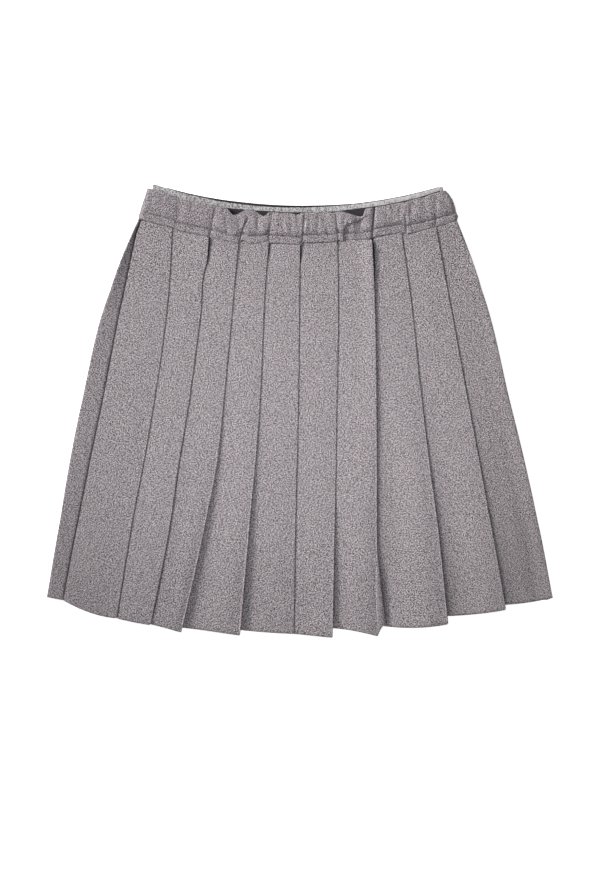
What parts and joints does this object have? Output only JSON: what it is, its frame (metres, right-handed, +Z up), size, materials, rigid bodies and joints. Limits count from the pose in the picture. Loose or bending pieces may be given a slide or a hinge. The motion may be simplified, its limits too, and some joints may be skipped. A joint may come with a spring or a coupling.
{
  "type": "skort",
  "caption": "Flat-laid pleated mini skort in grey melange flannel with a gathered elastic waistband and dark inner shorts.",
  "frame": {"origin": "middle of the garment's outline, on the surface that it lies on", "axes": "+X to the wearer's left, +Y from hem to waist, +Z up from the surface, out of the front"},
  "size_m": [0.5075, 0.4534, 0.0144],
  "materials": {
    "flannel": "brushed grey melange twill, matte with a short nap",
    "band_flannel": "the same flannel, doubled and gathered, with a stitched line",
    "elastic": "pale grey knitted elastic with fine ribs",
    "jersey": "charcoal knitted jersey, matte"
  },
  "bodies": {
    "root": {"back_skirt": "flannel", "front_skirt": "flannel", "back_waistband": "band_flannel", "front_waistband": "band_flannel", "waist_elastic": "elastic", "shorts_back_left": "jersey", "shorts_back_right": "jersey", "shorts_front_left": "jersey", "shorts_front_right": "jersey"}
  },
  "joints": []
}
